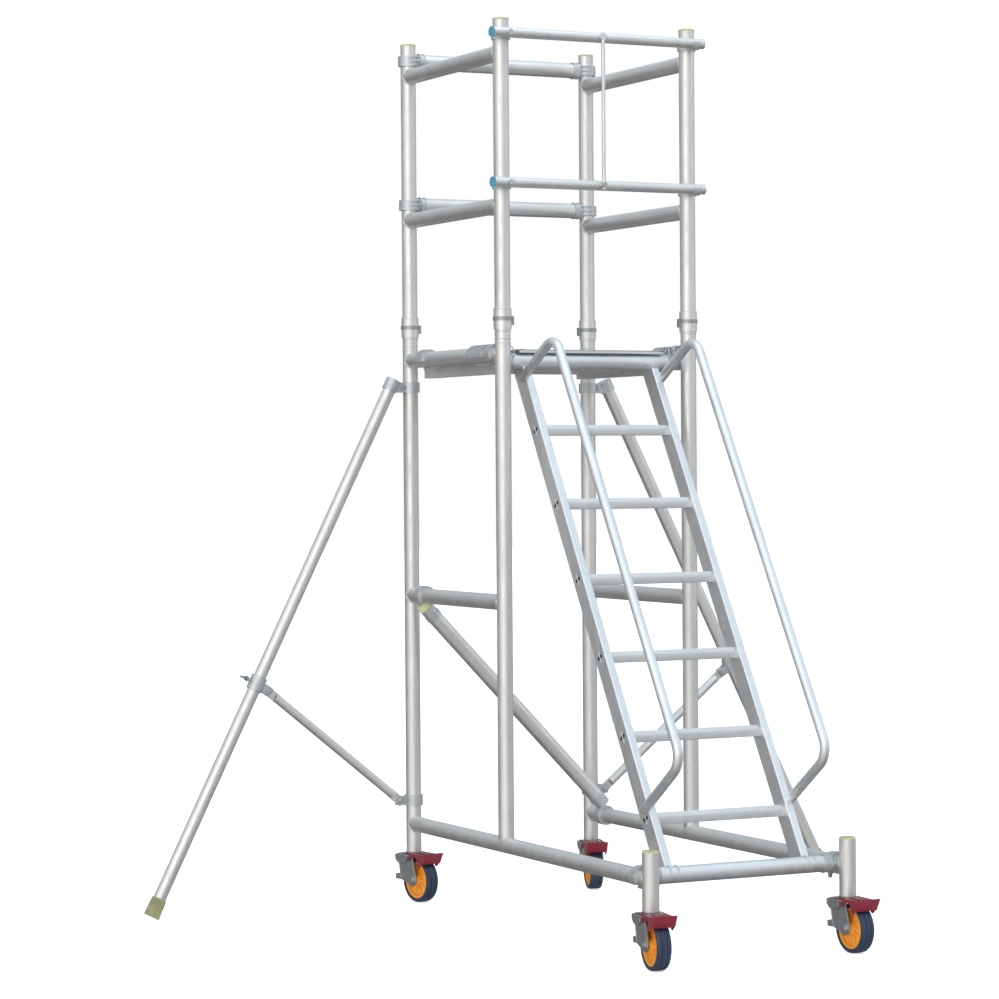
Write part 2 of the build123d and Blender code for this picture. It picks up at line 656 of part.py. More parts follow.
def castor_axle():
    """Axle bolt with a head and a nut outside the fork."""
    reach = CHEEK_X + CHEEK_THICKNESS
    axle = rod((-reach - 5, -TRAIL, WHEEL_R), (reach + 5, -TRAIL, WHEEL_R), AXLE_R)
    for side in SIDES.values():
        axle += rod((side * reach, -TRAIL, WHEEL_R), (side * (reach + 6), -TRAIL, WHEEL_R), 10)
    return axle


def castor_hub():
    """Moulded wheel centre with a recessed web and its bearing boss."""
    half = TYRE_WIDTH / 2 - 4
    hub = rod((-half, -TRAIL, WHEEL_R), (half, -TRAIL, WHEEL_R), RIM_R)
    for side in SIDES.values():
        recess = rod((side * 7, -TRAIL, WHEEL_R), (side * (half + 1), -TRAIL, WHEEL_R), RIM_R - 6)
        hub -= recess
    hub += rod((-half - 6, -TRAIL, WHEEL_R), (half + 6, -TRAIL, WHEEL_R), 16)
    for i in range(5):
        spoke = Pos(0, 0, (RIM_R + 10) / 2) * Box(2 * half - 8, 6, RIM_R - 14)
        hub += Pos(0, -TRAIL, WHEEL_R) * Rot(72 * i, 0, 0) * spoke
    return hub - rod((-60, -TRAIL, WHEEL_R), (60, -TRAIL, WHEEL_R), AXLE_R + RUNNING)


def castor_tyre():
    """Rounded rubber tyre on the hub's rim."""
    half = TYRE_WIDTH / 2
    tread = rod((-half, -TRAIL, WHEEL_R), (half, -TRAIL, WHEEL_R), WHEEL_R)
    tread = fillet(tread.edges().filter_by(GeomType.CIRCLE), 8)
    return tread - rod((-half - 1, -TRAIL, WHEEL_R), (half + 1, -TRAIL, WHEEL_R), RIM_R + 0.05)


def castor_pedal():
    """Brake pedal: a plate round the stem, a lip over the wheel and two pivot ears."""
    inner = CHEEK_X + CHEEK_THICKNESS + 1
    outer = inner + 2.5
    plate = block((-outer, -64, 162.5), (outer, 40, 165)) - block((-30, -18, 150), (30, 8, 170))
    plate -= rod((0, 6, 150), (0, 6, 170), 30) + rod((0, -2, 150), (0, -2, 170), 30)
    plate = fillet(plate.edges().filter_by(Axis.Z).group_by(Axis.Y)[-1], 20)
    profile = Plane.YZ * make_face(Polyline(
        (-63, 165), (-98, 160), (-121, 130), (-118, 128), (-96, 157), (-63, 162.5), close=True))
    lip = Pos(-outer, 0, 0) * extrude(profile, 2 * outer)
    pedal = plate + lip
    y, z = PEDAL_PIVOT
    for side in SIDES.values():
        near, far = sorted((side * inner, side * outer))
        pedal += block((near, y - 11, z - 9), (far, y + 11, 164))
        pedal += block((near, -96, 142), (far, y, 158)) + block((near, -64, 152), (far, y, 164))
        pedal += rod((side * (CHEEK_X + 1), y, z), (side * outer, y, z), 4)
    return pedal


def build_parts():
    """Every node in work coordinates."""
    parts["frame_spigots"] = group(spigot(x, y) for x, y in corners())
    parts["spigot_clips"] = group(spigot_clip(x, y) for x, y in corners())
    parts["post_caps"] = post_caps()
    parts["rear_top_rail"] = rear_rail(TOP_RAIL_Z + REAR_RAIL_RISE)
    parts["rear_knee_rail"] = rear_rail(KNEE_RAIL_Z + REAR_RAIL_RISE)
    parts["rear_rail_claws"] = rear_rail_claws()
    parts["diagonal_brace"] = diagonal_brace()
    parts["diagonal_claws"] = diagonal_claws()
    parts["deck_board"] = deck_board()
    parts["deck_frame"] = deck_frame()
    parts["deck_hooks"] = deck_hooks()
    parts["ladder_rungs"] = group(rung(z) for z in rung_heights())
    parts["ladder_top_tube"] = ladder_top_tube()
    parts["ladder_bottom_tube"] = ladder_bottom_tube()
    parts["ladder_claws"] = ladder_claws()
    parts["gate_pivot_brackets"] = group(gate_pivot_bracket(z) for z in GATE_HEIGHTS)
    parts["gate_rest_hooks"] = group(gate_rest_hook(z) for z in GATE_HEIGHTS)
    parts["gate_link_rod"] = gate_link_rod()
    parts["gate_link_pin"] = gate_link_pin()
    for level, z in zip(("lower", "upper"), GATE_HEIGHTS):
        parts[f"gate_{level}_bar"] = gate_bar(z)
        parts[f"gate_{level}_cap"] = gate_bar_cap(z)
    for name, side in SIDES.items():
        parts[f"{name}_side_frame"] = side_frame(side)
        parts[f"{name}_guard_frame"] = guard_frame(side)
        parts[f"{name}_stile"] = stile(side)
        parts[f"{name}_handrail"] = handrail(side)
        parts[f"{name}_outrigger_leg"] = outrigger_leg(side)
        parts[f"{name}_outrigger_foot"] = outrigger_foot(side)
        parts[f"{name}_outrigger_strut"] = outrigger_strut(side)
        parts[f"{name}_outrigger_clamps"] = outrigger_clamps(side)
    parts["castor_stems"] = group(castor_place(name) * castor_stem() for name in CASTOR_HEADING)
    for name in CASTOR_HEADING:
        place = castor_place(name)
        parts[f"{name}_fork"] = place * castor_fork()
        parts[f"{name}_axle"] = place * castor_axle()
        parts[f"{name}_hub"] = place * castor_hub()
        parts[f"{name}_tyre"] = place * castor_tyre()
        parts[f"{name}_pedal"] = place * castor_pedal()


build_parts()
os.makedirs("parts", exist_ok=True)
for node, shape in parts.items():
    export_step(Pos(0, -CENTRE_Y, 0) * shape, f"parts/{node}.step")

whole = Compound(children=list(parts.values())).bounding_box()
print(len(parts), "nodes; low", whole.min, "high", whole.max, "middle y", (whole.min.Y + whole.max.Y) / 2)
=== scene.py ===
import bpy
import bmesh
import json
from math import cos, pi, radians, sin, sqrt
from mathutils import Matrix, Vector


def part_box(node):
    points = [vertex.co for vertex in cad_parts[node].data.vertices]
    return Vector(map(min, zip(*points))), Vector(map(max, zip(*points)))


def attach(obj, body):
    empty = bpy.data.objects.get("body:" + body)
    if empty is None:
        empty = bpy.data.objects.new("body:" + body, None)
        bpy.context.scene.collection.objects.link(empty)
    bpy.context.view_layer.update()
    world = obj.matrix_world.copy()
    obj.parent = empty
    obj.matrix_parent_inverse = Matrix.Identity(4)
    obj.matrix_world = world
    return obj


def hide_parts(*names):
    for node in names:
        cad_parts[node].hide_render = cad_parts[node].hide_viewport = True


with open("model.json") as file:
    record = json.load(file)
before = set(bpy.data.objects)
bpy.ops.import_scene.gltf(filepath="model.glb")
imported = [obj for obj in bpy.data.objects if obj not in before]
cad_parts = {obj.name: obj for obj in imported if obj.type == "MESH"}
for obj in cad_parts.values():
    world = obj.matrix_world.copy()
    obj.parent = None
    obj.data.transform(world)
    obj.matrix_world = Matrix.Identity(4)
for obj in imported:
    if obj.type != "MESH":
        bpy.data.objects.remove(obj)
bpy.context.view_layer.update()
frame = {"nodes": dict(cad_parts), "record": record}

# Sizes in metres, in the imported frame
MM = 0.001
TUBE_R = 0.0254
HALF_WIDTH = (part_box("right_side_frame")[0][0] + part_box("right_side_frame")[1][0]) / 2
REAR_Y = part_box("right_side_frame")[1][1] - TUBE_R
CASTOR_POST_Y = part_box("right_side_frame")[0][1] + TUBE_R
FRONT_Y = REAR_Y - 0.700
BASE_RAIL_Z = 0.262
MID_RAIL_Z = 1.036
PLATFORM_RAIL_Z = 1.828
KNEE_RAIL_Z = 2.300
TOP_RAIL_Z = 2.785
SIDES = {"left": -1, "right": 1}
CASTORS = ("front_left", "front_right", "rear_left", "rear_right")
JOINTS = {joint["name"]: joint for joint in frame["record"]["behaviour"]["joints"]}
UP = Vector((0, 0, 1))
ALONG = Vector((0, 1, 0))
ACROSS = Vector((1, 0, 0))


# ---------------------------------------------------------------- materials

def node_tree(name):
    """New material with its node tree, links and shader."""
    material = bpy.data.materials.new(name)
    material.use_nodes = True
    tree = material.node_tree
    return material, tree, tree.nodes["Principled BSDF"]


def noise_value(tree, scale, stretch=(1, 1, 1), detail=4.0, turn=(0, 0, 0)):
    """Noise over the object's own coordinates, drawn out along one axis by stretch."""
    coords = tree.nodes.new("ShaderNodeTexCoord")
    mapping = tree.nodes.new("ShaderNodeMapping")
    mapping.inputs["Scale"].default_value = stretch
    mapping.inputs["Rotation"].default_value = turn
    noise = tree.nodes.new("ShaderNodeTexNoise")
    noise.inputs["Scale"].default_value = scale
    noise.inputs["Detail"].default_value = detail
    tree.links.new(coords.outputs["Object"], mapping.inputs["Vector"])
    tree.links.new(mapping.outputs["Vector"], noise.inputs["Vector"])
    return noise.outputs["Fac"]


def ramp(tree, value, stops):
    """Colour ramp through (position, colour) stops."""
    node = tree.nodes.new("ShaderNodeValToRGB")
    elements = node.color_ramp.elements
    while len(elements) < len(stops):
        elements.new(0.5)
    for element, (position, colour) in zip(elements, stops):
        element.position = position
        element.color = (*colour, 1)
    tree.links.new(value, node.inputs["Fac"])
    return node.outputs["Color"]


def spread(tree, value, low, high):
    """Maps the middle of a noise onto low to high."""
    node = tree.nodes.new("ShaderNodeMapRange")
    node.inputs["From Min"].default_value = 0.3
    node.inputs["From Max"].default_value = 0.7
    node.inputs["To Min"].default_value = low
    node.inputs["To Max"].default_value = high
    tree.links.new(value, node.inputs["Value"])
    return node.outputs["Result"]


def blend_colours(tree, factor, first, second):
    """Mixes two colour sockets by a factor socket."""
    node = tree.nodes.new("ShaderNodeMix")
    node.data_type = "RGBA"
    tree.links.new(factor, node.inputs["Factor"])
    tree.links.new(first, node.inputs["A"])
    tree.links.new(second, node.inputs["B"])
    return node.outputs["Result"]


def bump(tree, shader, heights):
    """Chains bumps of (height socket, strength, distance) into the shader's normal."""
    previous = None
    for height, strength, distance in heights:
        node = tree.nodes.new("ShaderNodeBump")
        node.inputs["Strength"].default_value = strength
        node.inputs["Distance"].default_value = distance
        tree.links.new(height, node.inputs["Height"])
        if previous:
            tree.links.new(previous, node.inputs["Normal"])
        previous = node.outputs["Normal"]
    tree.links.new(previous, shader.inputs["Normal"])


def tone(colour, factor):
    """The colour made lighter or darker."""
    return tuple(min(1.0, channel * factor) for channel in colour)


def drawn_metal(name, colour, rough, stretch, turn=(0, 0, 0), soil=0.86):
    """Mill-finished tube: draw lines along its length, cloudy oxide and a few scuffs."""
    material, tree, shader = node_tree(name)
    lines = noise_value(tree, 420, stretch, 3.0, turn)
    cloud = noise_value(tree, 7, (1, 1, 1), 5.0)
    scuff = noise_value(tree, 55, (1, 1, 0.35), 6.0, (0.5, 0.9, 0.2))
    clean = ramp(tree, lines, [(0.30, tone(colour, 0.93)), (0.70, tone(colour, 1.04))])
    worn = ramp(tree, lines, [(0.30, tone(colour, soil)), (0.70, tone(colour, soil * 1.08))])
    patches = spread(tree, cloud, 0.0, 0.8)
    tree.links.new(blend_colours(tree, patches, clean, worn), shader.inputs["Base Color"])
    tree.links.new(spread(tree, scuff, rough * 0.82, rough * 1.25), shader.inputs["Roughness"])
    shader.inputs["Metallic"].default_value = 1.0
    bump(tree, shader, [(lines, 0.12, 0.0004), (scuff, 0.10, 0.0006)])
    return material


def cast_metal(name, colour, rough):
    """Sand-cast alloy: a pebbled skin, darker in its pits."""
    material, tree, shader = node_tree(name)
    grit = noise_value(tree, 420, detail=6.0)
    lumps = noise_value(tree, 60, detail=4.0)
    skin = ramp(tree, grit, [(0.28, tone(colour, 0.72)), (0.55, colour), (0.80, tone(colour, 1.12))])
    dull = ramp(tree, lumps, [(0.30, tone(colour, 0.84)), (0.75, tone(colour, 1.05))])
    patches = spread(tree, noise_value(tree, 18), 0.15, 0.75)
    tree.links.new(blend_colours(tree, patches, skin, dull), shader.inputs["Base Color"])
    tree.links.new(spread(tree, grit, rough * 0.85, rough * 1.2), shader.inputs["Roughness"])
    shader.inputs["Metallic"].default_value = 0.9
    bump(tree, shader, [(lumps, 0.25, 0.0012), (grit, 0.35, 0.0005)])
    return material


def moulded(name, colour, rough, shade=0.8, grain_bump=0.15):
    """Moulded plastic or rubber with a fine grain and rubbed patches."""
    material, tree, shader = node_tree(name)
    grain = noise_value(tree, 900, detail=3.0)
    rubbed = noise_value(tree, 26, detail=5.0)
    fresh = ramp(tree, grain, [(0.3, tone(colour, 0.92)), (0.7, tone(colour, 1.06))])
    dusty = ramp(tree, grain, [(0.3, tone(colour, shade)), (0.7, tone(colour, shade * 1.1))])
    patches = spread(tree, rubbed, 0.0, 0.8)
    tree.links.new(blend_colours(tree, patches, fresh, dusty), shader.inputs["Base Color"])
    tree.links.new(spread(tree, rubbed, rough * 0.85, min(1.0, rough * 1.2)), shader.inputs["Roughness"])
    bump(tree, shader, [(grain, grain_bump, 0.0003)])
    return material


def painted(name, colour, rough):
    """Sprayed enamel on a pressing: orange peel, with chips down to the metal."""
    material, tree, shader = node_tree(name)
    peel = noise_value(tree, 600, detail=2.0)
    chips = noise_value(tree, 95, detail=8.0)
    coat = ramp(tree, peel, [(0.3, tone(colour, 0.88)), (0.7, tone(colour, 1.08))])
    bare = ramp(tree, peel, [(0.3, (0.20, 0.19, 0.19)), (0.7, (0.34, 0.33, 0.32))])
    mask = ramp(tree, chips, [(0.70, (0, 0, 0)), (0.73, (1, 1, 1))])
    tree.links.new(blend_colours(tree, mask, coat, bare), shader.inputs["Base Color"])
    tree.links.new(spread(tree, peel, rough * 0.85, rough * 1.2), shader.inputs["Roughness"])
    shader.inputs["Coat Weight"].default_value = 0.35
    shader.inputs["Coat Roughness"].default_value = 0.2
    bump(tree, shader, [(peel, 0.12, 0.0004)])
    return material


ALUMINIUM = (0.83, 0.825, 0.81)
BRIGHT = (0.86, 0.88, 0.90)
UPRIGHT = (1, 1, 0.02)
LENGTHWISE = (1, 0.02, 1)
CROSSWISE = (0.02, 1, 1)
STEEL = (0.40, 0.41, 0.42)

materials = {
    "upright_tube": drawn_metal("upright_tube", ALUMINIUM, 0.46, UPRIGHT),
    "cross_tube": drawn_metal("cross_tube", ALUMINIUM, 0.45, CROSSWISE),
    "ladder_cross": drawn_metal("ladder_cross", BRIGHT, 0.46, CROSSWISE),
    "ladder_side": drawn_metal("ladder_side", BRIGHT, 0.45, UPRIGHT, (radians(31), 0, 0)),
    "leg_left": drawn_metal("leg_left", ALUMINIUM, 0.46, UPRIGHT, (0, radians(-27), 0)),
    "leg_right": drawn_metal("leg_right", ALUMINIUM, 0.46, UPRIGHT, (0, radians(27), 0)),
    "brace_tube": drawn_metal("brace_tube", ALUMINIUM, 0.45, UPRIGHT, (0, radians(46), 0)),
    "deck_beam": drawn_metal("deck_beam", ALUMINIUM, 0.48, LENGTHWISE, soil=0.78),
    "deck_plate": drawn_metal("deck_plate", (0.66, 0.68, 0.69), 0.45, LENGTHWISE, soil=0.8),
    "cast_alloy": cast_metal("cast_alloy", (0.62, 0.64, 0.65), 0.46),
    "weld": cast_metal("weld", (0.70, 0.70, 0.69), 0.38),
    "zinc": cast_metal("zinc", STEEL, 0.42),
    "bolt": drawn_metal("bolt", (0.60, 0.62, 0.65), 0.28, CROSSWISE),
    "cap": moulded("cap", (0.50, 0.49, 0.27), 0.45),
    "foot": moulded("foot", (0.30, 0.29, 0.15), 0.6, 0.7),
    "gate_cap": moulded("gate_cap", (0.06, 0.25, 0.36), 0.4),
    "tyre": moulded("tyre", (0.016, 0.026, 0.052), 0.34, 1.5, 0.25),
    "hub": moulded("hub", (0.86, 0.36, 0.04), 0.42, 0.84),
    "pedal": painted("pedal", (0.20, 0.006, 0.020), 0.42),
}


MATERIAL_BY_ENDING = {
    "_pedal": "pedal",
    "_tyre": "tyre",
    "_hub": "hub",
    "_fork": "zinc",
    "_axle": "bolt",
    "_foot": "foot",
    "_clamps": "cast_alloy",
    "_claws": "cast_alloy",
    "_hooks": "cast_alloy",
    "_brackets": "cast_alloy",
    "_cap": "gate_cap",
    "_caps": "cap",
    "_stems": "zinc",
    "_clips": "zinc",
    "_pin": "bolt",
}
MATERIAL_BY_NODE = {"diagonal_brace": "brace_tube", "deck_board": "deck_plate", "deck_frame": "deck_beam"}


def cad_material(node):
    """The material of a CAD node, by what it is made of and the way it runs."""
    if node.endswith("_leg"):
        return "leg_left" if node.startswith("left") else "leg_right"
    if node.endswith("_strut"):
        return "leg_right" if node.startswith("left") else "leg_left"
    if node.endswith(("_stile", "_handrail")):
        return "ladder_side"
    if node.startswith("ladder_") and node != "ladder_claws":
        return "ladder_cross"
    if node.startswith(("rear_", "gate_")) and node.endswith(("_rail", "_bar")):
        return "cross_tube"
    for ending, material in MATERIAL_BY_ENDING.items():
        if node.endswith(ending):
            return material
    return MATERIAL_BY_NODE.get(node, "upright_tube")


for node, thing in frame["nodes"].items():
    for slot in thing.material_slots:
        slot.material = materials[cad_material(node)]


# ---------------------------------------------------------------- camera, light and stage

CAMERA_AT = Vector((-4.806, -8.782, 1.483))
CAMERA_YAW = radians(-26.49)
CAMERA_PITCH = radians(-0.68)
CAMERA_ROLL = radians(-0.42)
FOCAL_LENGTH = 113.0


def make_camera():
    """Long-lens camera at the height of a standing person's chest, to the front left."""
    forward = Vector((
        -sin(CAMERA_YAW) * cos(CAMERA_PITCH),
        cos(CAMERA_YAW) * cos(CAMERA_PITCH),
        sin(CAMERA_PITCH),
    ))
    level = Vector((cos(CAMERA_YAW), sin(CAMERA_YAW), 0))
    top = level.cross(forward)
    right = cos(CAMERA_ROLL) * level + sin(CAMERA_ROLL) * top
    top = right.cross(forward)
    data = bpy.data.cameras.new("camera")
    data.sensor_width = 36.0
    data.lens = FOCAL_LENGTH
    camera = bpy.data.objects.new("camera", data)
    turn = Matrix((right, top, -forward)).transposed().to_4x4()
    camera.matrix_world = Matrix.Translation(CAMERA_AT) @ turn
    bpy.context.scene.collection.objects.link(camera)
    bpy.context.scene.camera = camera


def area_light(name, position, target, width, height, power, colour):
    """Soft box that faces a point."""
    data = bpy.data.lights.new(name, "AREA")
    data.shape = "RECTANGLE"
    data.size, data.size_y = width, height
    data.energy = power
    data.color = colour
    lamp = bpy.data.objects.new(name, data)
    lamp.location = position
    lamp.rotation_euler = (Vector(target) - Vector(position)).to_track_quat("-Z", "Y").to_euler()
    bpy.context.scene.collection.objects.link(lamp)


def add_wall(tree, sky, direction, toward, colour):
    """Adds a broad soft patch of light to the sky's colour, centred on a direction."""
    dot = tree.nodes.new("ShaderNodeVectorMath")
    dot.operation = "DOT_PRODUCT"
    dot.inputs[1].default_value = Vector(toward).normalized()
    tree.links.new(direction, dot.inputs[0])
    patch = ramp(tree, dot.outputs["Value"], [(0.15, (0, 0, 0)), (0.90, colour)])
    patch.node.color_ramp.interpolation = "EASE"
    mix = tree.nodes.new("ShaderNodeMix")
    mix.data_type = "RGBA"
    mix.blend_type = "ADD"
    mix.inputs["Factor"].default_value = 1.0
    tree.links.new(sky, mix.inputs["A"])
    tree.links.new(patch, mix.inputs["B"])
    return mix.outputs["Result"]


def make_world():
    """White to the camera; to the metal, a studio: cool above, dark below, a broad lit wall front left."""
    world = bpy.data.worlds.new("studio")
    world.use_nodes = True
    bpy.context.scene.world = world
    tree = world.node_tree
    tree.nodes.clear()
    coords = tree.nodes.new("ShaderNodeTexCoord")
    split = tree.nodes.new("ShaderNodeSeparateXYZ")
    tree.links.new(coords.outputs["Generated"], split.inputs["Vector"])
    height = tree.nodes.new("ShaderNodeMapRange")
    height.inputs["From Min"].default_value = -1.0
    tree.links.new(split.outputs["Z"], height.inputs["Value"])
    sky = ramp(tree, height.outputs["Result"], [
        (0.0, (0.14, 0.14, 0.145)), (0.40, (0.20, 0.20, 0.20)), (0.50, (0.30, 0.30, 0.295)),
        (0.62, (0.40, 0.42, 0.44)), (1.0, (0.74, 0.86, 0.95))])
    sky = add_wall(tree, sky, coords.outputs["Generated"], (-0.77, -0.64, 0.06), (0.60, 0.59, 0.56))
    sky = add_wall(tree, sky, coords.outputs["Generated"], (0.90, -0.42, 0.10), (0.20, 0.21, 0.22))
    studio = tree.nodes.new("ShaderNodeBackground")
    tree.links.new(sky, studio.inputs["Color"])
    backdrop = tree.nodes.new("ShaderNodeBackground")
    backdrop.inputs["Color"].default_value = (1, 1, 1, 1)
    rays = tree.nodes.new("ShaderNodeLightPath")
    mix = tree.nodes.new("ShaderNodeMixShader")
    output = tree.nodes.new("ShaderNodeOutputWorld")
    tree.links.new(rays.outputs["Is Camera Ray"], mix.inputs["Fac"])
    tree.links.new(studio.outputs["Background"], mix.inputs[1])
    tree.links.new(backdrop.outputs["Background"], mix.inputs[2])
    tree.links.new(mix.outputs["Shader"], output.inputs["Surface"])


def make_floor():
    """Plain pale floor, unseen in the metal's reflections."""
    mesh = bpy.data.meshes.new("floor")
    reach = 40.0
    corners = [(-reach, -reach, 0), (reach, -reach, 0), (reach, reach, 0), (-reach, reach, 0)]
    mesh.from_pydata(corners, [], [(0, 1, 2, 3)])
    floor = bpy.data.objects.new("floor", mesh)
    bpy.context.scene.collection.objects.link(floor)
    material, tree, shader = node_tree("floor_paint")
    tint = ramp(tree, noise_value(tree, 2.0), [(0.3, (0.90, 0.90, 0.90)), (0.7, (0.93, 0.93, 0.93))])
    tree.links.new(tint, shader.inputs["Base Color"])
    shader.inputs["Roughness"].default_value = 0.9
    shader.inputs["Emission Color"].default_value = (1, 1, 1, 1)
    shader.inputs["Emission Strength"].default_value = 0.62
    mesh.materials.append(material)
    floor.visible_glossy = False


def make_stage():
    """Camera, world, floor and soft boxes."""
    make_camera()
    make_world()
    make_floor()
    bpy.context.scene.view_settings.view_transform = "Standard"
    area_light("key", (-6.2, -5.4, 3.2), (0, 0, 1.4), 4.2, 4.6, 90, (1.0, 0.98, 0.94))
    area_light("fill", (5.0, -3.0, 3.0), (0, 0, 1.2), 3.0, 4.0, 20, (0.86, 0.93, 1.0))
    area_light("top", (0, -0.5, 6.0), (0, -0.3, 0), 3.4, 3.4, 36, (0.80, 0.91, 1.0))


make_stage()


# ---------------------------------------------------------------- mesh helpers

def finish_piece(name, mesh, material, body, smooth=True):
    """Links a finished mesh, gives it its material and its body."""
    mesh.materials.append(materials[material])
    mesh.polygons.foreach_set("use_smooth", [smooth] * len(mesh.polygons))
    piece = bpy.data.objects.new(name, mesh)
    bpy.context.scene.collection.objects.link(piece)
    if smooth:
        mesh.set_sharp_from_angle(angle=radians(35))
    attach(piece, body)
    return piece


def mesh_from(name, builder):
    """Runs a bmesh builder and returns its mesh with outward faces."""
    work = bmesh.new()
    builder(work)
    bmesh.ops.recalc_face_normals(work, faces=work.faces)
    mesh = bpy.data.meshes.new(name)
    work.to_mesh(mesh)
    work.free()
    return mesh


def axes_from(direction):
    """Two unit vectors square to a direction."""
    direction = direction.normalized()
    helper = UP if abs(direction.z) < 0.9 else ACROSS
    first = direction.cross(helper).normalized()
    return first, direction.cross(first)


def add_sweep(work, points, radius, sides=10, closed=False):
    """Round bar through the points; radius is a number or a function of the point's index."""
    count = len(points)
    rings = []
    for i, point in enumerate(points):
        ahead = points[(i + 1) % count] if closed or i < count - 1 else point
        behind = points[i - 1] if closed or i > 0 else point
        first, second = axes_from(ahead - behind)
        size = radius(i) if callable(radius) else radius
        turn = [2 * pi * k / sides for k in range(sides)]
        rings.append([work.verts.new(point + size * (cos(a) * first + sin(a) * second)) for a in turn])
    last = count if closed else count - 1
    for i in range(last):
        ring, following = rings[i], rings[(i + 1) % count]
        shift = min(range(sides), key=lambda s: (following[s].co - ring[0].co).length)
        for k in range(sides):
            j, m = (k + shift) % sides, (k + 1 + shift) % sides
            work.faces.new((ring[k], ring[(k + 1) % sides], following[m], following[j]))
    if not closed:
        work.faces.new(rings[0])
        work.faces.new(rings[-1])


def add_lathe(work, profile, place, segments=48):
    """Closed solid of revolution: profile is (radius, height) pairs about the local Z axis."""
    rings = []
    for radius, height in profile:
        if radius < 1e-6:
            rings.append([work.verts.new(place @ Vector((0, 0, height)))])
            continue
        turn = [2 * pi * k / segments for k in range(segments)]
        ring = [place @ Vector((radius * cos(a), radius * sin(a), height)) for a in turn]
        rings.append([work.verts.new(point) for point in ring])
    pairs = list(zip(rings, rings[1:]))
    if len(rings[0]) > 1 and len(rings[-1]) > 1:
        pairs.append((rings[-1], rings[0]))
    for lower, upper in pairs:
        for k in range(segments):
            n = (k + 1) % segments
            below = [lower[k % len(lower)], lower[n % len(lower)]]
            above = [upper[n % len(upper)], upper[k % len(upper)]]
            unique = list(dict.fromkeys(below + above))
            if len(unique) > 2:
                work.faces.new(unique)


def add_prism(work, outline, start, end, first, second):
    """Solid whose outline, in two given directions, runs from start to end."""
    rows = [[work.verts.new(base + u * first + v * second) for u, v in outline] for base in (start, end)]
    count = len(outline)
    for k in range(count):
        n = (k + 1) % count
        work.faces.new((rows[0][k], rows[0][n], rows[1][n], rows[1][k]))
    work.faces.new(rows[0])
    work.faces.new(rows[1])


def lathe_place(centre, direction):
    """Matrix that puts the lathe's local Z along a direction."""
    first, second = axes_from(Vector(direction))
    turn = Matrix((first, second, Vector(direction).normalized())).transposed()
    if turn.determinant() < 0:
        turn = Matrix((second, first, Vector(direction).normalized())).transposed()
    return Matrix.Translation(centre) @ turn.to_4x4()


def hexagon(across_flats):
    """Outline of a hexagon by its width across flats."""
    reach = across_flats / sqrt(3)
    return [(reach * cos(pi / 3 * k), reach * sin(pi / 3 * k)) for k in range(6)]


# ---------------------------------------------------------------- weld beads

BEAD_R = 3.2 * MM
BEAD_RIPPLE = 0.6 * MM
BEAD_LIFT = 1.5 * MM                 # of a bead's centre line off the post


def saddle(centre, post, rail, steps=96):
    """Line where a rail meets a post of the same size, as a closed loop of points."""
    side = post.cross(rail)
    points = []
    for k in range(steps):
        a = 2 * pi * k / steps
        out = sqrt((TUBE_R + BEAD_LIFT) ** 2 - (TUBE_R * sin(a)) ** 2)
        points.append(centre + rail * out + post * TUBE_R * cos(a) + side * TUBE_R * sin(a))
    return points


def bead(i):
    """Radius of a weld bead, rippled along its length."""
    return BEAD_R + BEAD_RIPPLE * sin(i * 1.9)


def weld_frames():
    """Beads round every joint of the four welded frames."""
    for name, side in SIDES.items():
        x = side * HALF_WIDTH
        rails = [(z, REAR_Y, FRONT_Y) for z in (MID_RAIL_Z, PLATFORM_RAIL_Z, KNEE_RAIL_Z, TOP_RAIL_Z)]
        rails.append((BASE_RAIL_Z, REAR_Y, CASTOR_POST_Y))

        def build(work):
            for z, rear, front in rails:
                add_sweep(work, saddle(Vector((x, rear, z)), UP, -ALONG), bead, 8, True)
                add_sweep(work, saddle(Vector((x, front, z)), UP, ALONG), bead, 8, True)
            add_sweep(work, saddle(Vector((x, FRONT_Y, BASE_RAIL_Z)), ALONG, UP), bead, 8, True)

        finish_piece(f"{name}_frame_welds", mesh_from("welds", build), "weld", "tower")


weld_frames()


# ---------------------------------------------------------------- castors

TRAIL = 38 * MM
WHEEL_R = 75 * MM
CHEEK_OUTSIDE = 33 * MM
HEAD_OUTSIDE = 38.5 * MM
HUB_RIBS = 10
HUB_RIB_HALF = 1.6 * MM


def scaled(points):
    """Millimetre pairs in metres."""
    return [(a * MM, b * MM) for a, b in points]


def mirrored(half):
    """Profile of (radius, height) points, closed by its own mirror image about height 0."""
    return half + [(radius, -height) for radius, height in reversed(half)]


def castor_frame(castor):
    """Matrix of a castor: Z up its swivel, X along its axle, ground at 0."""
    axle = Vector(JOINTS[f"{castor}_roll"]["axis"]).normalized()
    swivel = Vector(JOINTS[f"{castor}_swivel"]["pos_m"])
    turn = Matrix((axle, UP.cross(axle), UP)).transposed().to_4x4()
    return Matrix.Translation((swivel.x, swivel.y, 0)) @ turn


def wheel_frame(castor):
    """Matrix at the wheel's centre, with its Z along the axle."""
    axle = Vector(JOINTS[f"{castor}_roll"]["axis"]).normalized()
    turn = Matrix((UP.cross(axle), UP, axle)).transposed().to_4x4()
    return Matrix.Translation(JOINTS[f"{castor}_roll"]["pos_m"]) @ turn


def soften(piece, width):
    """Rounds a piece's sharp edges."""
    bevel = piece.modifiers.new("edge", "BEVEL")
    bevel.width = width
    bevel.segments = 2
    bevel.limit_method = "ANGLE"


